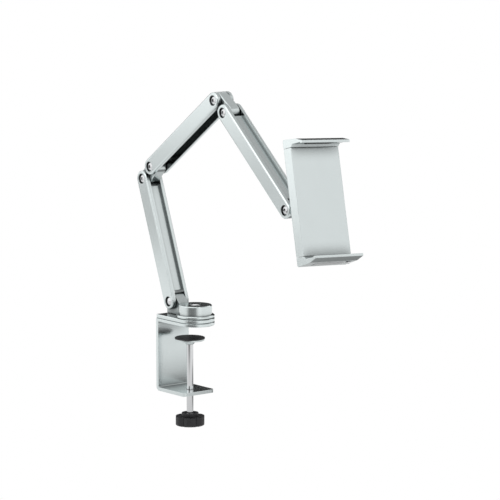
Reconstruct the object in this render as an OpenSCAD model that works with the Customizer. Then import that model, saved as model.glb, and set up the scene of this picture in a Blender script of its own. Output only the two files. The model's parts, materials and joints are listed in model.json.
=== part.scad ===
// Tablet holder: a desk clamp, three folding arms joined by short links, and a
// spring-loaded holder. Millimetres. The origin lies under the swivel axis, on the
// face that rests on the desk; +X points into the desk, +Z up.

/* [Clamp] */
// Width of the clamp along the desk's edge
clamp_w = 45; // [42:1:56]
// Thickness of the bracket's metal
plate_t = 4; // [3:0.5:5]
// Swivel axis to the outer face of the bracket's back
clamp_back = 47; // [46:1:60]
// Clear height inside the bracket
throat_h = 78.6; // [70:0.2:110]
// Length of the bottom plate, from the outer face of the back
bottom_len = 54; // [50:1:70]
// Corner radius of the bottom plate, seen from above
bottom_corner_r = 4; // [1:0.5:8]
// Inside radius of the bracket's two bends
bend_r = 1.2; // [0.5:0.1:3]
// Outside radius of the upper bend
top_bend_r = 1.2; // [0.5:0.1:3]
// Thickness of the rubber pad under the top flange
jaw_pad_t = 1; // [0.5:0.5:2]
// Distance of that pad from the edge of the top flange
jaw_pad_inset = 6; // [3:0.5:8]
// Thickness of the adapter plate on the bracket
adapter_t = 4.5; // [4:0.5:8]
// Chamfer along the edges of the plates
plate_chamfer = 0.8; // [0.2:0.1:0.9]
// Corner radius of the plates at the back, seen from above
plate_corner_r = 1.5; // [0.5:0.5:3]
// Thread diameter of the two screws that join the plates
plate_screw_d = 4; // [3:0.5:5]
// Distance between the two plate screws
plate_screw_gap = 24; // [20:1:30]
// Swivel axis back to the plate screws
plate_screw_back = 34; // [28:1:36]

/* [Clamp screw] */
// Swivel axis back to the axis of the clamp screw
screw_back = 11; // [8:1:14]
// Diameter of the clamp screw
screw_d = 8; // [6:1:10]
// Outer diameter of the threaded bush in the bottom plate
bush_d = 12; // [12:0.5:16]
// Free length of the clamp screw between pressure pad and knob
screw_len = 82; // [75:0.5:110]
// Pivot tip of the screw inside the pressure pad: diameter
tip_d = 6; // [4:0.5:7]
// Pivot tip of the screw: length
tip_len = 3; // [2:0.5:3.5]
// Distance from the desk face down to the pressure pad
pad_drop = 15.6; // [8:0.2:30]
// Diameter of the pressure pad
pad_d = 35.5; // [30:0.5:40]
// Thickness of the rubber on the pressure pad
pad_rubber_t = 1.5; // [1:0.5:2.5]
// Thickness of the metal disc of the pressure pad
pad_disc_t = 2; // [1.5:0.5:3]
// Diameter of the hub under the pressure pad
pad_hub_d = 15; // [13:0.5:20]
// Height of the hub under the pressure pad
pad_hub_t = 4.3; // [2.9:0.2:5]
// Diameter across the knob's lobes
knob_d = 35.6; // [30:0.2:40]
// Height of the knob's lobed part
knob_h = 10.6; // [8:0.2:14]
// Number of lobes on the knob
knob_lobes = 6; // [6:1:9]
// Radius of one lobe, seen from above
knob_lobe_r = 8.2; // [7.8:0.2:10]
// Chamfer under the knob
knob_chamfer = 1.4; // [0.8:0.2:3]
// Diameter of the knob's neck
knob_neck_d = 20; // [16:0.5:22]
// Height of the knob's neck
knob_neck_h = 4.2; // [3:0.2:8]
// Diameter of the recess round the screw in the knob's top
knob_recess_d = 13; // [11:0.5:14]
// Depth of that recess
knob_recess_t = 1; // [0.5:0.1:2]
// Turn of the knob at rest
knob_turn = 38; // [0:1:359]

/* [Turntable] */
// Thickness of the sliding washer under the turntable
thrust_t = 0.5; // [0.5:0.1:1]
// Diameter of the sliding washer
thrust_d = 42; // [36:1:44]
// Thickness of the foot flange
foot_t = 3.2; // [2.4:0.2:5]
// Diameter of the turntable's drum
drum_d = 38.8; // [36:0.2:40]
// Height of the whole turntable
drum_h = 14.6; // [13.8:0.2:20]
// Chamfer around the drum's top
drum_chamfer = 0.8; // [0.4:0.1:1.5]
// Floor thickness under the bolt's head
drum_floor_t = 3.4; // [2.4:0.2:3.8]
// Diameter of the recess for the bolt's head
counterbore_d = 13.8; // [13.6:0.1:16]
// Diameter of the swivel bolt
bolt_d = 8; // [6:1:8]
// Diameter of the swivel bolt's head
bolt_head_d = 13; // [12:0.5:13.2]
// Height of the swivel bolt's head
bolt_head_h = 8; // [6:0.5:8]
// Width of the hexagon socket in the swivel bolt
bolt_socket = 6; // [5:1:6]
// Rise of the domed cap over the swivel bolt above the drum
cap_dome = 1.1; // [0.5:0.1:1.5]
// Thickness of one disc spring under the bolt's head
disc_spring_t = 0.6; // [0.4:0.1:0.8]

/* [Arms] */
// Distance between the two pivots of an arm
arm_len = 150; // [120:1:200]
// Width of an arm, along its pivots
arm_w = 24; // [20:0.5:30]
// Height of an arm, which is also the diameter of its round ends
arm_h = 19; // [17:0.5:24]
// Thickness of an arm's side wall
wall_t = 4.8; // [4:0.2:6]
// Thickness of the web between the walls
web_t = 3; // [2:0.5:4]
// Distance from the walls' edge down to the web
web_inset = 3.5; // [2:0.5:4.5]
// Distance from a pivot to the end of the web
web_gap = 11.5; // [11:0.5:16]
// Rounding along an arm's outer edges
arm_edge_r = 1.8; // [0.5:0.1:2]
// Distance between the two pivots of a link
link_len = 22; // [20:0.5:30]
// Rounding along a link's edges
link_edge_r = 1; // [0.5:0.1:1.5]
// Thickness of a friction washer
washer_t = 0.6; // [0.4:0.1:1]
// Outer diameter of a friction washer
washer_d = 16; // [12:0.5:17]
// Swivel axis back to the first pivot
pivot_back = 37; // [34:0.5:45]
// Height of the first pivot above the desk face
pivot_up = 24.7; // [22:0.1:32]

/* [Pivot screws] */
// Diameter of a pivot screw
pivot_d = 6; // [5:0.5:6]
// Diameter of a pivot screw's head
head_d = 10.5; // [9:0.5:10.5]
// Height of a pivot screw's head
head_h = 2.8; // [2:0.2:3]
// Height of the head's straight edge under its dome
head_edge = 1; // [0.5:0.1:1.5]
// Hexagon socket in a pivot screw
socket_w = 4; // [3:0.5:5]
// Depth of the hexagon socket in a pivot screw
socket_depth = 1.6; // [1:0.2:2]
// Diameter of the recess round a head or nut
recess_d = 12; // [11.8:0.1:13]
// Depth of the recess round a head or nut
recess_depth = 3; // [2:0.2:3.4]
// Width of a pivot nut across its flats
nut_w = 10; // [8:0.5:10]
// Height of a pivot nut
nut_h = 2.8; // [2:0.2:3]
// Outer diameter of the bushes in links, lug and wrist
bushing_d = 8; // [7.5:0.5:10]

/* [Rest pose] */
// Direction of the lower arm, up from +X
lower_dir = 110.4; // [100:0.1:125]
// Direction of the lower link
lower_link_dir = 45.4; // [40:0.1:60]
// Direction of the middle arm
middle_dir = 35; // [25:0.1:45]
// Direction of the upper link
upper_link_dir = -35.4; // [-45:0.1:-20]
// Direction of the upper arm
upper_dir = -42; // [-55:0.1:-35]
// Direction in which the holder faces
holder_tilt = 14.3; // [0:0.1:30]
// Turn of the holder about its own swivel
holder_roll = 2.8; // [0:0.1:10]

/* [Wrist] */
// Wrist pivot to the front of the wrist's disc
wrist_reach = 38.1; // [34:0.1:50]
// Height of the holder's swivel axis above the wrist pivot
swivel_rise = 1.8; // [0:0.1:3]
// Diameter of the wrist's neck
neck_d = 18; // [16:0.5:20]
// Diameter of the wrist's disc
disc_d = 28; // [22:1:36]
// Thickness of the wrist's disc
disc_t = 4; // [3:0.5:6]
// Depth to which the swivel screw enters the wrist
swivel_screw_depth = 15; // [10:0.5:18]
// Thickness of the sliding washer behind the holder
swivel_washer_t = 0.5; // [0.3:0.1:1]
// Thickness of the spring washer under the swivel screw's head
swivel_spring_t = 0.5; // [0.4:0.1:1]

/* [Holder] */
// Width of the holder and its jaws
holder_w = 67; // [66:0.5:90]
// Length of the holder's body between the jaws
holder_len = 119; // [110:0.5:160]
// Depth of the holder's body
holder_t = 12.9; // [12.5:0.1:16]
// Wall thickness of the holder's shell
shell_t = 2; // [1.5:0.1:2.2]
// Rounding along the shell's front edges
shell_r = 1; // [0.5:0.1:1.4]
// Thickness of the back plate
back_t = 2.5; // [2:0.1:3]
// Diameter of the boss round the swivel screw
boss_d = 16; // [14:0.5:18]
// Height of that boss
boss_t = 2; // [1:0.1:2.2]
// Diameter of the shell's screw posts
post_d = 5.6; // [5:0.2:6]
// Swivel axis up and down to the screw posts
post_rise = 36; // [30:1:38]
// Length of a nylon guide
guide_len = 14; // [10:0.5:18]

/* [Jaws] */
// Seam between body and jaw
jaw_gap = 0.4; // [0.2:0.1:1]
// Height of a jaw at its back
jaw_h = 10; // [9:0.1:14]
// Fall of a jaw's outer face from its back to its slope
jaw_fall = 2; // [0.5:0.1:2.5]
// Distance from the holder's face to the front of the lip
lip_reach = 20; // [16:0.5:26]
// Distance from the holder's face to where a jaw starts to slope
slope_start = 9; // [4:0.5:12]
// Thickness of the lip at its front
lip_t = 2.7; // [2:0.1:4]
// Width of the raised ridge on the lip
ridge_w = 3; // [2:0.5:4]
// Height of the ridge above the jaw's channel
ridge_h = 1.3; // [0.8:0.1:2]
// Depth of the slope from the body to the channel
channel_start = 3; // [2:0.5:4]
// Bevel along the outer back edge of a jaw
jaw_bevel = 1; // [0.4:0.1:2]
// Length of the rubber strip in a jaw
strip_len = 35; // [25:1:55]
// Thickness of the rubber strip
strip_t = 1.6; // [1.2:0.1:2]
// Height by which the rubber strip stands out of its pocket
strip_proud = 0.6; // [0.3:0.1:1]
// Thickness of a slide
slide_t = 2; // [1.5:0.1:3]
// Width of one leg of a slide
leg_w = 6; // [5:0.5:6]
// Length of a slide's legs inside the body
leg_len = 75; // [65:1:80]
// Height of the strip that joins the legs inside a jaw
slide_head = 6; // [5:0.5:7]
// Swivel axis to the middle of the bottom jaw's legs
inner_leg = 13; // [12.5:0.5:13.5]
// Swivel axis to the middle of the top jaw's legs
outer_leg = 27; // [26.5:0.5:27.5]
// Swivel axis to the springs
spring_side = 20; // [19.5:0.5:20.5]
// Outer diameter of a spring
spring_d = 5; // [4:0.2:5.4]
// Wire diameter of a spring
wire_d = 0.6; // [0.4:0.1:1]
// Diameter of the post that anchors the springs
anchor_d = 4; // [3:0.5:5]
// Thread diameter of the holder's small screws
small_d = 3; // [2.5:0.5:3]

/* [Hidden] */
$fn = 96;

// Clearances
run = 0.05;
tip_gap = 0.2;
guide_gap = 0.15;
hook_gap = 0.3;
blind_gap = 0.4;
eps = 0.01;

// Small fixed sizes: rounding of small edges, metal left over a blind screw, rim outside the pressure
// pad's metal, reach of the lug into the drum, and the part of a small screw that its socket takes
edge_r = 0.6;
screw_cover = 1;
pad_rim = 0.4;
// Wall of the pressure pad's hub at its lower end, both sides together
pad_hub_wall = 2;
// How far the lobes' circles run past the knob's outer diameter
lobe_trim = 0.4;
lug_root = 4;
socket_share = 0.6;

// Heights of the clamp's layers
flange_z = jaw_pad_t;
adapter_z = flange_z + plate_t;
thrust_z = adapter_z + adapter_t;
drum_z = thrust_z + thrust_t;
bottom_z = flange_z - throat_h - plate_t;
web_x = -clamp_back;
bolt_seat_z = drum_z + drum_floor_t + 2 * disc_spring_t;
bolt_tip_z = flange_z + blind_gap;
bolt_top_z = bolt_seat_z + bolt_head_h;
cap_edge = drum_z + drum_h - bolt_top_z;
plate_screw_len = plate_t + adapter_t - screw_cover;
screw_top_z = -pad_drop - pad_rubber_t - pad_disc_t - pad_hub_t;
knob_top_z = screw_top_z - screw_len;
knob_neck_z = knob_top_z - knob_neck_h;
knob_low_z = knob_neck_z - knob_h;
screw_end_z = knob_neck_z - knob_h / 2;

// Arm section
arm_r = arm_h / 2;
fork_gap = arm_w - 2 * wall_t;
tongue_t = fork_gap - 2 * washer_t;
seat_y = arm_w / 2 - recess_depth;
knuckle_reach = arm_r + 4;

// Pivots at rest, as points in the XZ plane
function along(p, length, dir) = p + length * [cos(dir), sin(dir)];
p_base = [-pivot_back, pivot_up];
p_lower = along(p_base, arm_len, lower_dir);
p_middle = along(p_lower, link_len, lower_link_dir);
p_upper = along(p_middle, arm_len, middle_dir);
p_fore = along(p_upper, link_len, upper_link_dir);
p_wrist = along(p_fore, arm_len, upper_dir);

// Holder section: x runs forward from its face, z along its length
back_x = -holder_t;
cavity_back = back_x + back_t;
cavity_front = -shell_t;
cavity_w = holder_w - 2 * shell_t;
slide_x = (cavity_back + cavity_front - slide_t) / 2;
jaw_z = holder_len / 2 + jaw_gap;
channel_z = jaw_z + channel_start;
jaw_top = jaw_z + jaw_h;
lip_in = channel_z - ridge_h;
strip_margin = 1;
strip_x = channel_start + strip_margin;
strip_w = lip_reach - ridge_w - ridge_h - strip_margin - strip_x;
screw_post_len = cavity_front - cavity_back;
swivel_seat = cavity_back + boss_t;
face_x = wrist_reach + swivel_washer_t + holder_t;

// Placement

module pose(p, dir) {
    translate([p.x, 0, p.y]) rotate([0, -dir, 0]) children();
}

module in_wrist() {
    pose(p_wrist, holder_tilt) children();
}

module in_holder() {
    in_wrist() translate([face_x, 0, swivel_rise]) rotate([-holder_roll, 0, 0]) children();
}

// Turns a shape drawn along +Z so that it runs along +X
module along_x() {
    rotate([0, 90, 0]) children();
}

// Turns a shape drawn along +Z so that it runs along -Y, towards the heads
module along_pivot() {
    rotate([90, 0, 0]) children();
}

// Shared shapes

module tube(outer_d, inner_d, h) {
    difference() {
        cylinder(d = outer_d, h = h);
        translate([0, 0, -1]) cylinder(d = inner_d, h = h + 2);
    }
}

// Quarter corner that is left outside a fillet of radius r
module corner(r) {
    difference() {
        square(r);
        circle(r);
    }
}

// Half section of a plate, with its lower and upper outer corners rounded
module rounded_half(r, t, low_r, high_r) {
    difference() {
        square([r, t]);
        if (high_r > 0) translate([r - high_r, t - high_r]) corner_out(high_r);
        if (low_r > 0) translate([r - low_r, low_r]) mirror([0, 1]) corner_out(low_r);
    }
}

// The corner piece, a little oversize outward so that the cut is clean
module corner_out(r) {
    difference() {
        square(r + 1);
        circle(r);
        translate([-1, -1]) square([1, r + 3]);
        translate([-1, -1]) square([r + 3, 1]);
    }
}

// Plate with round ends at the origin and at [length, 0], from z = 0 to t
module stadium(length, r, t, low_r, high_r) {
    for (x = [0, length]) translate([x, 0, 0]) rotate_extrude() rounded_half(r, t, low_r, high_r);
    rotate([90, 0, 90]) linear_extrude(length) union() {
        rounded_half(r, t, low_r, high_r);
        mirror([1, 0]) rounded_half(r, t, low_r, high_r);
    }
}

// Plate with a half-round front about the swivel axis, chamfered above and below
module clamp_plate(z, t, low_c, high_c) {
    r = clamp_w / 2;
    half = [[0, 0], [r - low_c, 0], [r, low_c], [r, t - high_c], [r - high_c, t], [0, t]];
    translate([0, 0, z]) difference() {
        union() {
            rotate_extrude() polygon(half);
            translate([web_x, 0, 0]) rotate([90, 0, 90]) linear_extrude(clamp_back) union() {
                polygon(half);
                mirror([1, 0]) polygon(half);
            }
        }
        for (s = [-1, 1]) on_side(s) back_corner(t);
    }
}

// Mirrors its children to the far side for s = -1
module on_side(s) {
    mirror([0, s < 0 ? 1 : 0, 0]) children();
}

module back_corner(t) {
    r = plate_corner_r;
    translate([web_x + r, clamp_w / 2 - r, -1]) mirror([1, 0, 0]) linear_extrude(t + 2) corner_out(r);
}

// Disc with a domed top: its straight edge is edge high, and the dome rises to h
module domed(d, edge, h) {
    rise = h - edge;
    dome_r = (pow(d / 2, 2) + pow(rise, 2)) / (2 * rise);
    intersection() {
        cylinder(d = d, h = h);
        translate([0, 0, h - dome_r]) sphere(dome_r);
    }
}

// Countersunk screw, head up at z = 0
module countersunk(d, length) {
    translate([0, 0, -length]) cylinder(d = d, h = length);
    translate([0, 0, -d / 2]) cylinder(d1 = d, d2 = 2 * d, h = d / 2);
}

module hex_socket(width, depth) {
    cylinder(d = width / cos(30), h = depth, $fn = 6);
}

// Clamp

module clamp_bracket() {
    color("silver") difference() {
        union() {
            clamp_plate(flange_z, plate_t, plate_chamfer / 2, plate_chamfer);
            rotate([90, 0, 0]) linear_extrude(clamp_w, center = true) bracket_section();
        }
        for (s = [-1, 1]) on_side(s) bottom_corner();
        translate([0, 0, flange_z - 1]) cylinder(d = bolt_d, h = plate_t + 2);
        translate([-screw_back, 0, bottom_z - 1]) cylinder(d = bush_d, h = plate_t + 2);
        plate_screw_places() countersunk(plate_screw_d, plate_t + 1);
    }
}

// Back and bottom plate of the bracket, with the upper bend
module bracket_section() {
    out_r = bend_r + plate_t;
    inner = web_x + plate_t;
    difference() {
        union() {
            translate([web_x, bottom_z]) square([plate_t, throat_h + 2 * plate_t - plate_chamfer]);
            translate([web_x, bottom_z]) square([bottom_len, plate_t]);
            translate([inner + bend_r, bottom_z + plate_t + bend_r]) rotate(180) corner(bend_r);
            translate([inner + bend_r, flange_z - bend_r]) rotate(90) corner(bend_r);
        }
        translate([web_x + out_r, bottom_z + out_r]) rotate(180) corner_out(out_r);
        translate([web_x + top_bend_r, adapter_z - top_bend_r]) rotate(90) corner_out(top_bend_r);
    }
}

module bottom_corner() {
    r = bottom_corner_r;
    translate([web_x + bottom_len - r, clamp_w / 2 - r, bottom_z - 1])
        linear_extrude(plate_t + 2) corner_out(r);
}

// Places the plate screws with their heads in the flange's underside
module plate_screw_places() {
    for (s = [-1, 1])
        translate([-plate_screw_back, s * plate_screw_gap / 2, flange_z]) rotate([180, 0, 0]) children();
}

module adapter_plate() {
    color("silver") difference() {
        clamp_plate(adapter_z, adapter_t, plate_chamfer, plate_chamfer);
        translate([0, 0, adapter_z - 1]) cylinder(d = bolt_d, h = adapter_t + 2);
        plate_screw_places() translate([0, 0, -plate_screw_len]) cylinder(d = plate_screw_d, h = adapter_t);
    }
}

module top_jaw_pad() {
    r = clamp_w / 2 - jaw_pad_inset;
    color("dimgray") linear_extrude(jaw_pad_t) union() {
        circle(r);
        translate([web_x + plate_t + jaw_pad_inset, -r])
            square([clamp_back - plate_t - jaw_pad_inset, 2 * r]);
    }
}

module plate_screws() {
    color("gray") plate_screw_places() difference() {
        countersunk(plate_screw_d, plate_screw_len);
        translate([0, 0, -plate_screw_d / 2]) hex_socket(plate_screw_d * socket_share, plate_screw_d);
    }
}

module screw_bush() {
    color("silver") translate([-screw_back, 0, bottom_z]) tube(bush_d, screw_d + 2 * run, plate_t);
}

module swivel_bolt() {
    color("gainsboro") difference() {
        union() {
            translate([0, 0, bolt_tip_z]) cylinder(d = bolt_d, h = bolt_seat_z - bolt_tip_z);
            translate([0, 0, bolt_seat_z]) cylinder(d = bolt_head_d, h = bolt_head_h);
        }
        translate([0, 0, bolt_seat_z + bolt_head_h / 2]) hex_socket(bolt_socket, bolt_head_h);
    }
}

// Domed cap that closes the recess over the bolt, its stub pressed into the bolt's socket
module bolt_cap() {
    color("gainsboro") translate([0, 0, bolt_top_z]) {
        domed(bolt_head_d, cap_edge, cap_edge + cap_dome);
        translate([0, 0, -bolt_head_h / 4]) cylinder(d = bolt_socket - 2 * run, h = bolt_head_h / 4);
    }
}

module disc_springs() {
    color("gray") translate([0, 0, bolt_seat_z - 2 * disc_spring_t])
        tube(bolt_head_d, bolt_d + 4 * run, 2 * disc_spring_t);
}

module thrust_washer() {
    color("black") translate([0, 0, thrust_z]) tube(thrust_d, bolt_d + 4 * run, thrust_t);
}

// Clamp screw and pressure pad

module at_screw() {
    translate([-screw_back, 0, 0]) children();
}

module pressure_pad() {
    color("silver") at_screw() difference() {
        union() {
            translate([0, 0, screw_top_z + pad_hub_t])
                rotate_extrude() rounded_half(pad_d / 2 - pad_rim, pad_disc_t, edge_r, 0);
            translate([0, 0, screw_top_z]) cylinder(d1 = screw_d + pad_hub_wall, d2 = pad_hub_d, h = pad_hub_t);
        }
        translate([0, 0, screw_top_z - 1]) cylinder(d = tip_d + 2 * run, h = tip_len + tip_gap + 1);
    }
}

module pad_rubber() {
    color("black") at_screw() translate([0, 0, -pad_drop - pad_rubber_t])
        rotate_extrude() rounded_half(pad_d / 2, pad_rubber_t, 0, pad_rim);
}

module clamp_screw() {
    color("gainsboro") at_screw() {
        translate([0, 0, screw_top_z]) cylinder(d = tip_d, h = tip_len);
        translate([0, 0, screw_end_z]) cylinder(d = screw_d, h = screw_top_z - screw_end_z);
    }
}

module knob() {
    lobe_x = knob_d / 2 + lobe_trim - knob_lobe_r;
    color("black") at_screw() difference() {
        union() {
            translate([0, 0, knob_neck_z])
                rotate_extrude() rounded_half(knob_neck_d / 2, knob_neck_h, 0, edge_r);
            intersection() {
                union() {
                    translate([0, 0, knob_low_z])
                        cylinder(d1 = knob_d - 2 * knob_chamfer, d2 = knob_d, h = knob_chamfer);
                    translate([0, 0, knob_low_z + knob_chamfer])
                        rotate_extrude() rounded_half(knob_d / 2, knob_h - knob_chamfer, 0, edge_r);
                }
                for (k = [0 : knob_lobes - 1]) rotate(k * 360 / knob_lobes - knob_turn)
                    translate([lobe_x, 0, knob_low_z - 1]) cylinder(r = knob_lobe_r, h = knob_h + 2);
            }
        }
        translate([0, 0, screw_end_z]) cylinder(d = screw_d, h = knob_h + knob_neck_h);
        translate([0, 0, knob_top_z - knob_recess_t]) cylinder(d = knob_recess_d, h = knob_recess_t + 1);
    }
}

// Turntable

module turntable() {
    r = clamp_w / 2;
    c = plate_chamfer;
    top = drum_z + drum_h;
    color("silver") difference() {
        union() {
            rotate_extrude() polygon([
                [0, drum_z], [r - c, drum_z], [r, drum_z + c], [r, drum_z + foot_t - c],
                [r - c, drum_z + foot_t], [drum_d / 2, drum_z + foot_t],
                [drum_d / 2, top - drum_chamfer],
                [drum_d / 2 - drum_chamfer, top], [0, top]
            ]);
            rotate([90, 0, 0]) linear_extrude(tongue_t, center = true) lug_section();
        }
        translate([0, 0, drum_z - 1]) cylinder(d = bolt_d + 2 * run, h = drum_h);
        translate([0, 0, drum_z + drum_floor_t]) cylinder(d = counterbore_d, h = drum_h);
        pivot_hole(p_base, bushing_d);
    }
}

// Side view of the lug: round top, straight back, and a slope down to the drum
module lug_section() {
    back = p_base.x - arm_r;
    knee = arm_r * cos(45);
    shoulder_z = min(drum_z + drum_h - drum_chamfer, p_base.y + knee);
    slope_x = p_base.x + knee + p_base.y + knee - shoulder_z;
    root_x = -counterbore_d / 2 - lug_root;
    translate(p_base) circle(arm_r);
    polygon([
        [back, drum_z], [back, p_base.y], p_base, [p_base.x + knee, p_base.y + knee],
        [slope_x, shoulder_z], [root_x, shoulder_z], [root_x, drum_z]
    ]);
}

// Hole across the tongue at a pivot
module pivot_hole(p, d) {
    translate([p.x, 0, p.y]) along_pivot() cylinder(d = d, h = arm_w, center = true);
}

module bushing() {
    along_pivot() translate([0, 0, -tongue_t / 2]) tube(bushing_d, pivot_d + 2 * run, tongue_t);
}

module lug_bushing() {
    color("tan") pose(p_base, 0) bushing();
}

// Arms and links

// Arm along +X between its pivots; web_side is +1 or -1 for the web above or below
module arm(web_side) {
    web_mid = web_side * (arm_r - web_inset - web_t / 2);
    difference() {
        union() {
            for (s = [-1, 1]) on_side(s) along_pivot() translate([0, 0, fork_gap / 2])
                stadium(arm_len, arm_r, wall_t, 0, arm_edge_r);
            translate([web_gap, -fork_gap / 2 - 1, web_mid - web_t / 2])
                cube([arm_len - 2 * web_gap, fork_gap + 2, web_t]);
        }
        for (x = [0, arm_len]) translate([x, 0, 0]) along_pivot() {
            cylinder(d = pivot_d, h = arm_w + 2, center = true);
            for (s = [0, 1]) mirror([0, 0, s])
                translate([0, 0, seat_y]) cylinder(d = recess_d, h = recess_depth + 1);
        }
    }
}

// Pivot bolt with a plain domed head towards -Y
module pivot_bolt() {
    along_pivot() {
        translate([0, 0, -seat_y - nut_h]) cylinder(d = pivot_d, h = 2 * seat_y + nut_h);
        translate([0, 0, seat_y]) domed(head_d, head_edge, head_h);
    }
}

// Button-head screw: the same bolt with a hexagon socket in its head
module pivot_screw() {
    difference() {
        pivot_bolt();
        along_pivot() translate([0, 0, seat_y + head_h - socket_depth]) hex_socket(socket_w, socket_depth + 1);
    }
}

module pivot_nut() {
    along_pivot() translate([0, 0, -seat_y - nut_h]) difference() {
        cylinder(d = nut_w / cos(30), h = nut_h, $fn = 6);
        translate([0, 0, -1]) cylinder(d = pivot_d, h = nut_h + 2);
    }
}

module pivot_washers() {
    for (s = [-1, 1]) on_side(s) along_pivot() translate([0, 0, tongue_t / 2])
        tube(washer_d, pivot_d + 4 * run, washer_t);
}

// Places its children at both pivots of an arm or link
module at_pivots(p, dir, length) {
    pose(p, dir) for (x = [0, length]) translate([x, 0, 0]) children();
}

module link(p, dir) {
    pose(p, dir) difference() {
        along_pivot() translate([0, 0, -tongue_t / 2])
            stadium(link_len, arm_r, tongue_t, link_edge_r, link_edge_r);
        for (x = [0, link_len]) translate([x, 0, 0]) pivot_hole([0, 0], bushing_d);
    }
}

module lower_arm() {
    color("silver") pose(p_base, lower_dir) arm(-1);
}

module lower_arm_screws() {
    color("gainsboro") pose(p_base, lower_dir) {
        pivot_bolt();
        translate([arm_len, 0, 0]) pivot_screw();
    }
}

module lower_arm_nuts() {
    color("gray") at_pivots(p_base, lower_dir, arm_len) pivot_nut();
}

module lower_arm_washers() {
    color("black") at_pivots(p_base, lower_dir, arm_len) pivot_washers();
}

module lower_link() {
    color("silver") link(p_lower, lower_link_dir);
}

module lower_link_bushings() {
    color("tan") at_pivots(p_lower, lower_link_dir, link_len) bushing();
}

module middle_arm() {
    color("silver") pose(p_middle, middle_dir) arm(1);
}

module middle_arm_screws() {
    color("gainsboro") at_pivots(p_middle, middle_dir, arm_len) pivot_screw();
}

module middle_arm_nuts() {
    color("gray") at_pivots(p_middle, middle_dir, arm_len) pivot_nut();
}

module middle_arm_washers() {
    color("black") at_pivots(p_middle, middle_dir, arm_len) pivot_washers();
}

module upper_link() {
    color("silver") link(p_upper, upper_link_dir);
}

module upper_link_bushings() {
    color("tan") at_pivots(p_upper, upper_link_dir, link_len) bushing();
}

module upper_arm() {
    color("silver") pose(p_fore, upper_dir) arm(1);
}

module upper_arm_screws() {
    color("gainsboro") at_pivots(p_fore, upper_dir, arm_len) pivot_screw();
}

module upper_arm_nuts() {
    color("gray") at_pivots(p_fore, upper_dir, arm_len) pivot_nut();
}

module upper_arm_washers() {
    color("black") at_pivots(p_fore, upper_dir, arm_len) pivot_washers();
}

// Wrist

module wrist_knuckle() {
    disc_x = wrist_reach - disc_t;
    color("silver") in_wrist() difference() {
        union() {
            along_pivot() translate([0, 0, -tongue_t / 2])
                stadium(knuckle_reach, arm_r, tongue_t, link_edge_r, link_edge_r);
            translate([knuckle_reach, 0, swivel_rise])
                along_x() cylinder(d = neck_d, h = disc_x - knuckle_reach);
            translate([disc_x, 0, swivel_rise])
                along_x() rotate_extrude() rounded_half(disc_d / 2, disc_t, edge_r, edge_r);
        }
        pivot_hole([0, 0], bushing_d);
        translate([wrist_reach - swivel_screw_depth - 1, 0, swivel_rise])
            along_x() cylinder(d = pivot_d, h = swivel_screw_depth + 2);
    }
}

module wrist_bushing() {
    color("tan") in_wrist() bushing();
}

module swivel_washer() {
    color("black") in_wrist() translate([wrist_reach, 0, swivel_rise])
        along_x() tube(disc_d - 2 * edge_r, pivot_d + 4 * run, swivel_washer_t);
}

module swivel_spring() {
    color("gray") in_holder() translate([swivel_seat, 0, 0])
        along_x() tube(head_d, pivot_d + 4 * run, swivel_spring_t);
}

module swivel_screw() {
    seat = swivel_seat + swivel_spring_t;
    tip = -holder_t - swivel_washer_t - swivel_screw_depth;
    color("gainsboro") in_holder() difference() {
        union() {
            translate([tip, 0, 0]) along_x() cylinder(d = pivot_d, h = seat - tip);
            translate([seat, 0, 0]) along_x() rotate_extrude() rounded_half(head_d / 2, head_h, 0, edge_r);
        }
        translate([seat + head_h - socket_depth, 0, 0]) along_x() hex_socket(socket_w, socket_depth + 1);
    }
}

// Holder body

module holder_shell() {
    color("silver") in_holder() {
        linear_extrude(holder_len, center = true) difference() {
            translate([0, -holder_w / 2]) shell_outline();
            translate([back_x - 1, -cavity_w / 2]) square([holder_t - shell_t + 1, cavity_w]);
        }
        at_screw_posts() translate([cavity_back, 0, 0]) along_x() tube(post_d, small_d, screw_post_len);
    }
}

// Outline of the shell, its two front edges rounded
module shell_outline() {
    difference() {
        translate([back_x, 0]) square([holder_t, holder_w]);
        translate([-shell_r, holder_w - shell_r]) corner_out(shell_r);
        translate([-shell_r, shell_r]) mirror([0, 1]) corner_out(shell_r);
    }
}

// The screw posts stand beyond the ends of the legs: outside below, inside above
module at_screw_posts() {
    for (s = [-1, 1]) {
        translate([0, s * outer_leg, -post_rise]) children();
        translate([0, s * inner_leg, post_rise]) children();
    }
}

// Turns a screw drawn with its head up so that it enters the holder from behind
module into_back() {
    along_x() rotate([180, 0, 0]) children();
}

module holder_back() {
    color("silver") in_holder() difference() {
        union() {
            translate([back_x, -cavity_w / 2, -holder_len / 2]) cube([back_t, cavity_w, holder_len]);
            translate([cavity_back - eps, 0, 0]) along_x() cylinder(d = boss_d, h = boss_t + eps);
            for (s = [-1, 1]) translate([cavity_back - eps, s * spring_side, 0])
                along_x() cylinder(d = anchor_d, h = cavity_front - cavity_back - hook_gap + eps);
        }
        translate([back_x - 1, 0, 0]) along_x() cylinder(d = pivot_d + 2 * run, h = back_t + boss_t + 2);
        at_screw_posts() translate([back_x, 0, 0]) into_back() countersunk(small_d, back_t + 1);
    }
}

module back_screws() {
    color("gray") in_holder() at_screw_posts() translate([back_x, 0, 0])
        into_back() small_screw(back_t + screw_post_len - blind_gap);
}

module small_screw(length) {
    difference() {
        countersunk(small_d, length);
        translate([0, 0, -small_d / 2]) hex_socket(small_d * socket_share, small_d);
    }
}

// Guides: one block at each end of the cavity, slotted for that jaw's legs
module slide_guides() {
    color("ivory") in_holder() {
        guide(outer_leg);
        mirror([0, 0, 1]) guide(inner_leg);
    }
}

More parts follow.
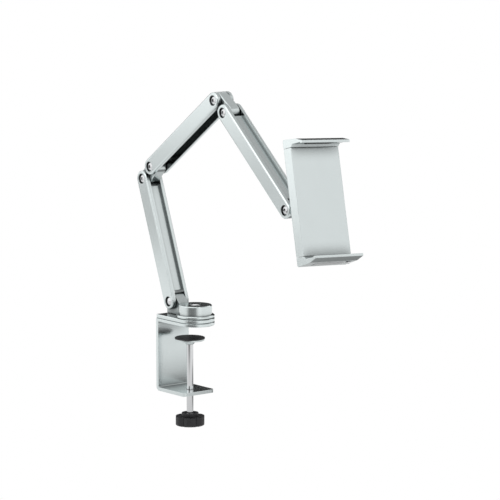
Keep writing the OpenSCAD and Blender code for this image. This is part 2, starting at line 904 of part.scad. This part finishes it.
module guide(leg_y) {
    end = holder_len / 2;
    difference() {
        translate([cavity_back, -cavity_w / 2, end - guide_len])
            cube([cavity_front - cavity_back, cavity_w, guide_len]);
        for (s = [-1, 1]) {
            translate([slide_x - guide_gap, s * leg_y - leg_w / 2 - guide_gap, end - guide_len - 1])
                cube([slide_t + 2 * guide_gap, leg_w + 2 * guide_gap, guide_len + 2]);
            translate([slide_x + slide_t / 2, s * spring_side, end - guide_len - 1])
                cylinder(d = spring_d + 4 * guide_gap, h = guide_len + 2);
        }
    }
}

// Jaws, drawn as the top jaw

module jaw() {
    difference() {
        rotate([90, 0, 0]) linear_extrude(holder_w, center = true) jaw_section();
        translate([slide_x, -outer_leg - leg_w / 2, jaw_z - 1])
            cube([slide_t, 2 * outer_leg + leg_w, slide_head + 1]);
        translate([strip_x, -strip_len / 2, channel_z - 1])
            cube([strip_w, strip_len, strip_t - strip_proud + 1]);
        jaw_screw_places() countersunk(small_d, holder_t);
    }
}

module jaw_section() {
    slope_z = jaw_top - jaw_fall;
    ridge_x = lip_reach - ridge_w;
    polygon([
        [back_x, jaw_z], [back_x, jaw_top - jaw_bevel], [back_x + jaw_bevel, jaw_top],
        [slope_start, slope_z], [lip_reach, lip_in + lip_t], [lip_reach, lip_in],
        [ridge_x, lip_in], [ridge_x - ridge_h, channel_z], [channel_start, channel_z], [0, jaw_z]
    ]);
}

module jaw_strip() {
    translate([strip_x, -strip_len / 2, channel_z - strip_proud]) cube([strip_w, strip_len, strip_t]);
}

// The slide's strip lies in the jaw, its two legs in the body
module slide(leg_y) {
    union() {
        translate([slide_x, -outer_leg - leg_w / 2, jaw_z])
            cube([slide_t, 2 * outer_leg + leg_w, slide_head]);
        for (s = [-1, 1]) translate([slide_x, s * leg_y - leg_w / 2, holder_len / 2 - leg_len])
            cube([slide_t, leg_w, leg_len + jaw_gap + eps]);
    }
}

module jaw_screw_places() {
    for (s = [-1, 1]) translate([back_x, s * spring_side, jaw_z + slide_head / 2]) into_back() children();
}

module jaw_screws() {
    jaw_screw_places() small_screw(holder_t + slide_x + slide_t);
}

// Springs from the anchor posts to the slide, as tubes of the coils' size
module springs() {
    low = anchor_d / 2 + hook_gap;
    for (s = [-1, 1]) translate([slide_x + slide_t / 2, s * spring_side, low])
        tube(spring_d, spring_d - 2 * wire_d, jaw_z - low);
}

module in_bottom() {
    in_holder() mirror([0, 0, 1]) children();
}

module top_jaw() {
    color("silver") in_holder() jaw();
}

module top_jaw_strip() {
    color("dimgray") in_holder() jaw_strip();
}

module top_slide() {
    color("gray") in_holder() difference() {
        slide(outer_leg);
        jaw_screw_places() translate([0, 0, -holder_t]) cylinder(d = small_d, h = holder_t);
    }
}

module top_jaw_screws() {
    color("gray") in_holder() jaw_screws();
}

module top_springs() {
    color("gray") in_holder() springs();
}

module bottom_jaw() {
    color("silver") in_bottom() jaw();
}

module bottom_jaw_strip() {
    color("dimgray") in_bottom() jaw_strip();
}

module bottom_slide() {
    color("gray") in_bottom() difference() {
        slide(inner_leg);
        jaw_screw_places() translate([0, 0, -holder_t]) cylinder(d = small_d, h = holder_t);
    }
}

module bottom_jaw_screws() {
    color("gray") in_bottom() jaw_screws();
}

module bottom_springs() {
    color("gray") in_bottom() springs();
}

clamp_bracket();
adapter_plate();
top_jaw_pad();
plate_screws();
screw_bush();
swivel_bolt();
bolt_cap();
disc_springs();
thrust_washer();
pressure_pad();
pad_rubber();
clamp_screw();
knob();
turntable();
lug_bushing();
lower_arm();
lower_arm_screws();
lower_arm_nuts();
lower_arm_washers();
lower_link();
lower_link_bushings();
middle_arm();
middle_arm_screws();
middle_arm_nuts();
middle_arm_washers();
upper_link();
upper_link_bushings();
upper_arm();
upper_arm_screws();
upper_arm_nuts();
upper_arm_washers();
wrist_knuckle();
wrist_bushing();
swivel_washer();
swivel_screw();
swivel_spring();
holder_shell();
holder_back();
back_screws();
slide_guides();
top_jaw();
top_jaw_strip();
top_slide();
top_jaw_screws();
top_springs();
bottom_jaw();
bottom_jaw_strip();
bottom_slide();
bottom_jaw_screws();
bottom_springs();
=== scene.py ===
"""Tablet holder on a folding desk-clamp arm: finishes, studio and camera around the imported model."""
import json
import math

import bpy
from mathutils import Matrix, Vector


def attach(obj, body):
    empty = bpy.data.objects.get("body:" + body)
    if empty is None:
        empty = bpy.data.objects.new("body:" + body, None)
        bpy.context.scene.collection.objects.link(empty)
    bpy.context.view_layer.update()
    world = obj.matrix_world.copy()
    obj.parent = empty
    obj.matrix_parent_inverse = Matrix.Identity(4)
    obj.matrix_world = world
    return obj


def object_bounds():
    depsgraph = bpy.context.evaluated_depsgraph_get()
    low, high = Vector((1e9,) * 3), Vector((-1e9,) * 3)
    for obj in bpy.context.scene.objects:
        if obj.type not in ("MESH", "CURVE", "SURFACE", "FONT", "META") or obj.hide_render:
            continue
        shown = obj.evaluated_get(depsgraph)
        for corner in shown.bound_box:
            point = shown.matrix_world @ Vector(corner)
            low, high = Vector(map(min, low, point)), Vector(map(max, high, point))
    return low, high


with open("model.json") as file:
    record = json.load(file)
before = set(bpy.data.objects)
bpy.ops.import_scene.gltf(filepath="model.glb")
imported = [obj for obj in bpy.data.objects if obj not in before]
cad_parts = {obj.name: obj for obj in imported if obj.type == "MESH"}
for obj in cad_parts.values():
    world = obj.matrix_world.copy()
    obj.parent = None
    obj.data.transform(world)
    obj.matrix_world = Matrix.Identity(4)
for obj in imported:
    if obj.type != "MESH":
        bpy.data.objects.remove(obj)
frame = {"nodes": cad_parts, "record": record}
cad_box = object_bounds()

MM = 0.001

# Camera, fitted to the photograph with the object's sizes: place in millimetres, angles in degrees
CAMERA_PLACE = Vector((2355.6, -1785.0, 508.4)) * MM
CAMERA_AZIMUTH = 51.61
CAMERA_PITCH = 8.08
FOCAL_PIXELS = 2563
PHOTO_PIXELS = 500
SENSOR = 36.0
NEAREST = 0.1
FARTHEST = 50

# Holder's outward and upward directions at rest, and the fall of a jaw's outer facet
FACE_WAY = Vector((0.969016, 0, 0.246999))
RISE_WAY = Vector((-0.246704, 0.04885, 0.967859))
FACET_FALL = 0.0955
SAME_WAY = 0.999

# Strip on a jaw: length and width, corner radius, and how far it reaches under and over the facet
INLAY_SIZE = (0.040, 0.011)
INLAY_CORNER = 0.0015
INLAY_DEEP = 0.0003
INLAY_PROUD = 0.0002
CORNER_STEPS = 4

# Small screw beside the lower strip: place across and forward of the strip's centre, then the head
STOP_SCREW_ACROSS = 0.0255
STOP_SCREW_FORE = 0.004
STOP_SCREW_R = 0.0028
STOP_SCREW_H = 0.0022
DOME_TURNS = 32
DOME_RINGS = 6

# Finishes: lengths in metres, scales per metre
SILVER_COLOUR = (0.80, 0.865, 0.865)
SILVER_ROUGH = 0.19
GRAIN_SCALE = (900, 900, 60)
METAL_CLOUD_SCALE = 35.0
LEAST_ROUGH = 0.02
# Painted crevice shade: samples of how open a spot is, and how open it must be to get none
CREVICE_SHADE_SAMPLES = 12
CREVICE_SHADE_OPEN = 0.95
EDGE_RADIUS = 0.0005
EDGE_SAMPLES = 6
PLAIN_CLOUD_SCALE = 60.0
PLAIN_SPECKLE = 0.15
PLAIN_ROUGH_SPREAD = 0.06
PEBBLE_HEIGHT = 0.00008

# Lamp: place, aim, edge in metres and power in watts
KEY_PLACE = Vector((0.4, -1.6, 1.6))
KEY_AIM = Vector((0.1, 0, 0.1))
KEY_SIZE = 1.2
KEY_POWER = 5
WORLD_LIGHT = 0.75

# Grey cards out of the picture, each by where it stands round the object: name, azimuth from +X toward +Y,
# elevation, half width and half height in degrees, and tone
CARD_DISTANCE = 4.0
CARD_AIM = Vector((0.05, 0, 0.12))
CARDS = (
    ("card_behind", 142, 6, 46, 20, 0.03),
    ("card_near", -142, -17, 40, 13, 0.50),
    ("card_side", -143, 2.5, 36, 6.5, 1.12),
    ("card_camera", -60, -6, 26, 24, 0.16),
    ("card_far_low", 45, -6, 36, 14, 0.62),
    ("card_far_middle", 45, 13, 36, 5, 0.80),
    ("card_far_high", 45, 29, 36, 11, 0.80),
    ("card_top", 85, 58, 40, 16, 0.48),
)

# Mirrored table: drop under the object, half its edge, and its tone at distances from the swivel axis
TABLE_DROP = 0.0005
TABLE_HALF = 1.2
TABLE_TONES = ((0.10, 0.66), (0.42, 0.82), (1.0, 0.86))

# Dimmer places of the table: x and y, where the shade begins to end and ends, and the share of light left
TABLE_SHADES = (
    (0.50, -0.87, 0.42, 0.80, 0.20),
    (0.07, 0.24, 0.08, 0.22, 0.30),
    (-0.20, 0.30, 0.12, 0.30, 0.90),
)


def turn_to(azimuth, pitch):
    """Camera axes for a view from an azimuth, looking down by pitch."""
    a, p = math.radians(azimuth), math.radians(pitch)
    back = Vector((math.sin(a) * math.cos(p), -math.cos(a) * math.cos(p), math.sin(p)))
    right = Vector((math.cos(a), math.sin(a), 0))
    up = back.cross(right)
    return Matrix((right, up, back)).transposed()


def make_camera():
    """The view of the photograph, which is square."""
    data = bpy.data.cameras.new("camera")
    data.sensor_width = SENSOR
    data.lens = FOCAL_PIXELS / PHOTO_PIXELS * SENSOR
    data.clip_start = NEAREST
    data.clip_end = FARTHEST
    camera = bpy.data.objects.new("camera", data)
    turned = turn_to(CAMERA_AZIMUTH, CAMERA_PITCH).to_4x4()
    camera.matrix_world = Matrix.Translation(CAMERA_PLACE) @ turned
    bpy.context.scene.collection.objects.link(camera)
    bpy.context.scene.camera = camera


class Nodes:
    """Short ways to add and link shader nodes."""

    def __init__(self, tree):
        self.tree = tree
        tree.nodes.clear()

    def add(self, kind, **inputs):
        made = self.tree.nodes.new(kind)
        for name, value in inputs.items():
            key = name.replace("_", " ")
            target = made.inputs[key] if key in made.inputs else None
            if target is None:
                setattr(made, name, value)
            elif isinstance(value, bpy.types.NodeSocket):
                self.tree.links.new(value, target)
            else:
                target.default_value = value
        return made

    def link(self, source, target):
        self.tree.links.new(source, target)


def mix_colours(n, factor, first, second):
    """Blend of two colours, each a plain colour or a socket."""
    made = n.add("ShaderNodeMix", data_type="RGBA", Factor=factor)
    for place, colour in ((6, first), (7, second)):
        if isinstance(colour, bpy.types.NodeSocket):
            n.link(colour, made.inputs[place])
        else:
            made.inputs[place].default_value = (*colour, 1)
    return made.outputs[2]


def crevice_shade_mask(n, reach, closed):
    """Mask for painted crevice shade: 1 in the open and 0 deep in a gap or corner, with a soft change over
    reach metres.
    """
    near = n.add("ShaderNodeAmbientOcclusion", Distance=reach, samples=CREVICE_SHADE_SAMPLES)
    spread = n.add("ShaderNodeMapRange", Value=near.outputs["AO"])
    spread.inputs["From Min"].default_value = closed
    spread.inputs["From Max"].default_value = CREVICE_SHADE_OPEN
    return spread.outputs[0]


def surface_nodes(name, metallic):
    """A new material: itself, its nodes, its shader and its object coordinates."""
    m = bpy.data.materials.new(name)
    m.use_nodes = True
    n = Nodes(m.node_tree)
    out = n.add("ShaderNodeOutputMaterial")
    surface = n.add("ShaderNodeBsdfPrincipled", Metallic=metallic)
    n.link(surface.outputs[0], out.inputs["Surface"])
    where = n.add("ShaderNodeTexCoord")
    return m, n, surface, where.outputs["Object"]


def vary_rough(n, surface, pattern, low, high):
    """Roughness between low and high, following a pattern."""
    spread = n.add("ShaderNodeMapRange", Value=pattern)
    spread.inputs["To Min"].default_value = low
    spread.inputs["To Max"].default_value = high
    n.link(spread.outputs[0], surface.inputs["Roughness"])


def metal(name, colour, rough, grain, speckle, depth=0.02, floor=0.25, closed=0.42):
    """Metal with fine streaks in its gloss, a faint change of colour, softened edges and painted shade in
    its crevices.

    The painted crevice shade reaches over depth metres. Where a spot is less open than closed, the painted
    shade leaves it the share floor of its colour.
    """
    m, n, surface, where = surface_nodes(name, 1.0)
    stretch = n.add("ShaderNodeMapping", Vector=where)
    stretch.inputs["Scale"].default_value = GRAIN_SCALE
    streak = n.add("ShaderNodeTexNoise", Vector=stretch.outputs[0], Scale=1.0, Detail=4.0)
    cloud = n.add("ShaderNodeTexNoise", Vector=where, Scale=METAL_CLOUD_SCALE, Detail=3.0)
    low = [c * (1 - speckle) for c in colour]
    high = [min(1, c * (1 + speckle)) for c in colour]
    tone = mix_colours(n, cloud.outputs["Fac"], low, high)
    # Painted shade: deep in crevices the colour falls to the share floor of itself
    painted_shade_colour = [c * floor for c in colour]
    n.link(mix_colours(n, crevice_shade_mask(n, depth, closed), painted_shade_colour, tone), surface.inputs["Base Color"])
    vary_rough(n, surface, streak.outputs["Fac"], max(LEAST_ROUGH, rough - grain), rough + grain)
    edge = n.add("ShaderNodeBevel", Radius=EDGE_RADIUS, samples=EDGE_SAMPLES)
    n.link(edge.outputs[0], surface.inputs["Normal"])
    return m


def plain(name, colour, rough, pebble_scale, bump):
    """Moulded plastic or rubber with a fine pebbled skin."""
    m, n, surface, where = surface_nodes(name, 0.0)
    pebble = n.add("ShaderNodeTexNoise", Vector=where, Scale=pebble_scale, Detail=3.0)
    cloud = n.add("ShaderNodeTexNoise", Vector=where, Scale=PLAIN_CLOUD_SCALE, Detail=2.0)
    low = [c * (1 - PLAIN_SPECKLE) for c in colour]
    high = [c * (1 + PLAIN_SPECKLE) for c in colour]
    n.link(mix_colours(n, cloud.outputs["Fac"], low, high), surface.inputs["Base Color"])
    pattern = pebble.outputs["Fac"]
    vary_rough(n, surface, pattern, rough - PLAIN_ROUGH_SPREAD, rough + PLAIN_ROUGH_SPREAD)
    relief = n.add("ShaderNodeBump", Height=pattern, Strength=bump, Distance=PEBBLE_HEIGHT)
    n.link(relief.outputs[0], surface.inputs["Normal"])
    return m


SILVER = metal("silver_metal", SILVER_COLOUR, SILVER_ROUGH, 0.03, 0.02)
# Jaw metal: the same silver, with deeper and darker painted crevice shade
JAW_DEEP_SHADE = metal("jaw_metal_deep_shade", SILVER_COLOUR, SILVER_ROUGH, 0.03, 0.02, depth=0.03, floor=0.10, closed=0.5)
INLAY = metal("inlay_metal", (0.84, 0.86, 0.87), 0.42, 0.04, 0.03, depth=0.002)
STEEL = metal("steel", (0.80, 0.81, 0.82), 0.10, 0.04, 0.03, depth=0.0015)
RUBBER = plain("rubber", (0.022, 0.022, 0.024), 0.5, 900, 0.25)
KNOB = plain("knob_plastic", (0.014, 0.014, 0.016), 0.36, 1400, 0.2)
WASHER = plain("washer_plastic", (0.03, 0.03, 0.033), 0.5, 1200, 0.1)
GUIDE = plain("guide_plastic", (0.80, 0.79, 0.75), 0.45, 1200, 0.1)
BRONZE = metal("bronze", (0.62, 0.47, 0.28), 0.3, 0.06, 0.05)
BY_NODE = {"top_jaw": JAW_DEEP_SHADE, "bottom_jaw": JAW_DEEP_SHADE}
BY_SLOT = {
    "silver_metal": SILVER, "steel": STEEL, "rubber": RUBBER, "knob_plastic": KNOB,
    "washer_plastic": WASHER, "guide_plastic": GUIDE, "bronze": BRONZE,
}


def dress_frame():
    """Gives every CAD node the material of its slot, or its own where it has one."""
    for part in frame["record"]["subparts"]:
        node = frame["nodes"][part["node"]]
        for slot in node.material_slots:
            slot.material = BY_NODE.get(part["node"], BY_SLOT[part["material_slot"]])


def add_mesh(name, points, faces, material):
    """A mesh object in the scene, with one material."""
    mesh = bpy.data.meshes.new(name)
    mesh.from_pydata([tuple(v) for v in points], [], faces)
    mesh.materials.append(material)
    made = bpy.data.objects.new(name, mesh)
    bpy.context.scene.collection.objects.link(made)
    return made


def outer_facet(node, way):
    """Centre of the jaw's outer facet that faces the given way."""
    world = node.matrix_world
    total, centre = 0.0, Vector((0, 0, 0))
    for face in node.data.polygons:
        if (world.to_3x3() @ face.normal).dot(way) > SAME_WAY:
            total += face.area
            centre += world @ face.center * face.area
    return centre / total


def slab(name, outline, low, high, place, right, up, material):
    """A flat piece with the given outline, from depth low to height high over its place."""
    out = right.cross(up)
    count = len(outline)
    points = [place + right * x + up * y + out * z for z in (low, high) for x, y in outline]
    faces = [tuple(reversed(range(count))), tuple(range(count, 2 * count))]
    faces += [(k, (k + 1) % count, count + (k + 1) % count, count + k) for k in range(count)]
    return add_mesh(name, points, faces, material)


def dome(name, radius, height, place, right, up, material):
    """A low round head, closed below."""
    out = right.cross(up)
    points, faces = [], []
    for k in range(DOME_RINGS):
        a = math.radians(90) * k / DOME_RINGS
        r, z = radius * math.cos(a), height * math.sin(a)
        for j in range(DOME_TURNS):
            b = math.radians(360) * j / DOME_TURNS
            points.append(place + (right * math.cos(b) + up * math.sin(b)) * r + out * z)
    points.append(place + out * height)
    for k in range(DOME_RINGS - 1):
        lower, upper = k * DOME_TURNS, (k + 1) * DOME_TURNS
        for j in range(DOME_TURNS):
            i = (j + 1) % DOME_TURNS
            faces.append((lower + j, lower + i, upper + i, upper + j))
    last = (DOME_RINGS - 1) * DOME_TURNS
    faces += [(last + j, last + (j + 1) % DOME_TURNS, DOME_RINGS * DOME_TURNS) for j in range(DOME_TURNS)]
    faces.append(tuple(reversed(range(DOME_TURNS))))
    made = add_mesh(name, points, faces, material)
    for face in made.data.polygons[:-1]:
        face.use_smooth = True
    return made


def rounded_outline(size, radius):
    """Points of a rectangle with round corners, counterclockwise round its centre."""
    x, y = size[0] / 2 - radius, size[1] / 2 - radius
    outline = []
    for cx, cy, turn in ((x, y, 0), (-x, y, 90), (-x, -y, 180), (x, -y, 270)):
        for step in range(CORNER_STEPS + 1):
            a = math.radians(turn + step * 90 / CORNER_STEPS)
            outline.append((cx + radius * math.cos(a), cy + radius * math.sin(a)))
    return outline


def make_inlays():
    """Satin strip on the outer facet of each jaw, and the small screw beside the lower one."""
    across = RISE_WAY.cross(FACE_WAY).normalized()
    outline = rounded_outline(INLAY_SIZE, INLAY_CORNER)
    for jaw, side in (("top_jaw", 1), ("bottom_jaw", -1)):
        way = (FACE_WAY * FACET_FALL + RISE_WAY * side).normalized()
        up = way.cross(across)
        centre = outer_facet(frame["nodes"][jaw], way)
        strip = slab(jaw + "_inlay", outline, -INLAY_DEEP, INLAY_PROUD, centre, across, up, INLAY)
        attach(strip, jaw)
    place = centre + across * STOP_SCREW_ACROSS + FACE_WAY * STOP_SCREW_FORE - way * INLAY_DEEP
    head = dome("bottom_jaw_stop_screw", STOP_SCREW_R, STOP_SCREW_H, place, across, up, STEEL)
    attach(head, "bottom_jaw")


def combine(n, operation, first, second):
    """Result of one operation of arithmetic on two sockets."""
    made = n.add("ShaderNodeMath", operation=operation)
    n.link(first, made.inputs[0])
    n.link(second, made.inputs[1])
    return made.outputs[0]


def seen_directly(n):
    """1 for rays from the camera, a mirror or glass, 0 for the light that falls on the object."""
    path = n.add("ShaderNodeLightPath").outputs
    mirrored = combine(n, "MAXIMUM", path["Is Camera Ray"], path["Is Glossy Ray"])
    return combine(n, "MAXIMUM", mirrored, path["Is Transmission Ray"])


def panel(name, centre, right, up, half_x, half_y, material):
    """A flat rectangle of the studio, not part of the object."""
    signs = ((-1, -1), (1, -1), (1, 1), (-1, 1))
    corners = [centre + right * x * half_x + up * y * half_y for x, y in signs]
    made = add_mesh(name, corners, [(0, 1, 2, 3)], material)
    return made


def backdrop(n, strength):
    """White background light of the given strength."""
    made = n.add("ShaderNodeBackground", Strength=strength)
    made.inputs["Color"].default_value = (1, 1, 1, 1)
    return made.outputs[0]


def make_world():
    """White studio: plain light on the object, full white to the camera and to mirrors."""
    world = bpy.data.worlds.new("studio")
    bpy.context.scene.world = world
    world.use_nodes = True
    n = Nodes(world.node_tree)
    out = n.add("ShaderNodeOutputWorld")
    mix = n.add("ShaderNodeMixShader")
    n.link(seen_directly(n), mix.inputs[0])
    n.link(backdrop(n, WORLD_LIGHT), mix.inputs[1])
    n.link(backdrop(n, 1.0), mix.inputs[2])
    n.link(mix.outputs[0], out.inputs["Surface"])


def mirror_card(name, centre, right, up, half_x, half_y):
    """A panel that only mirrors see. Returns its shader nodes and its glow."""
    m = bpy.data.materials.new(name)
    m.use_nodes = True
    n = Nodes(m.node_tree)
    out = n.add("ShaderNodeOutputMaterial")
    glow = n.add("ShaderNodeEmission")
    n.link(glow.outputs[0], out.inputs["Surface"])
    made = panel(name, centre, right, up, half_x, half_y, m)
    made.visible_camera = False
    made.visible_diffuse = False
    made.visible_shadow = False
    made.visible_transmission = False
    return n, glow


def shade(n, where, place, near, far, share):
    """The given share of light within near metres of a place, rising to all of it at far."""
    gap = n.add("ShaderNodeVectorMath", operation="DISTANCE")
    n.link(where, gap.inputs[0])
    gap.inputs[1].default_value = place
    made = n.add("ShaderNodeMapRange", Value=gap.outputs["Value"], interpolation_type="SMOOTHSTEP")
    made.inputs["From Min"].default_value = near
    made.inputs["From Max"].default_value = far
    made.inputs["To Min"].default_value = share
    made.inputs["To Max"].default_value = 1.0
    return made.outputs[0]


def make_table_card():
    """The table as the metal mirrors it: greyer beside the object, pale further off, dimmed in places."""
    low = Vector((0, 0, cad_box[0].z - TABLE_DROP))
    n, glow = mirror_card("table_card", low, Vector((1, 0, 0)), Vector((0, 1, 0)), TABLE_HALF, TABLE_HALF)
    where = n.add("ShaderNodeTexCoord").outputs["Object"]
    away = n.add("ShaderNodeVectorMath", operation="LENGTH")
    n.link(where, away.inputs[0])
    tone = n.add("ShaderNodeValToRGB")
    n.link(away.outputs["Value"], tone.inputs[0])
    stops = tone.color_ramp.elements
    for k, (place, grey) in enumerate(TABLE_TONES):
        stop = stops[k] if k < len(stops) else stops.new(place)
        stop.position = place
        stop.color = (grey, grey, grey, 1)
    n.link(tone.outputs["Color"], glow.inputs["Color"])
    shades = [shade(n, where, (x, y, low.z), *rest) for x, y, *rest in TABLE_SHADES]
    strength = shades[0]
    for other in shades[1:]:
        strength = combine(n, "MULTIPLY", strength, other)
    n.link(strength, glow.inputs["Strength"])


def make_cards():
    """The grey cards that the metal mirrors."""
    for name, azimuth, elevation, half_w, half_h, tone in CARDS:
        a, e = math.radians(azimuth), math.radians(elevation)
        out = Vector((math.cos(a) * math.cos(e), math.sin(a) * math.cos(e), math.sin(e)))
        right = Vector((math.sin(a), -math.cos(a), 0))
        half = [CARD_DISTANCE * math.tan(math.radians(v)) for v in (half_w, half_h)]
        centre = CARD_AIM + out * CARD_DISTANCE
        glow = mirror_card(name, centre, right, right.cross(out), *half)[1]
        glow.inputs["Strength"].default_value = tone


def make_lamp():
    """One soft lamp, above the object and to its near side."""
    data = bpy.data.lights.new("key", "AREA")
    data.size = KEY_SIZE
    data.energy = KEY_POWER
    lamp = bpy.data.objects.new("key", data)
    lamp.location = KEY_PLACE
    lamp.rotation_mode = "QUATERNION"
    lamp.rotation_quaternion = (KEY_AIM - KEY_PLACE).to_track_quat("-Z", "Y")
    bpy.context.scene.collection.objects.link(lamp)


make_camera()
dress_frame()
make_inlays()
make_world()
make_cards()
make_table_card()
make_lamp()

bpy.context.scene.view_settings.view_transform = "Standard"
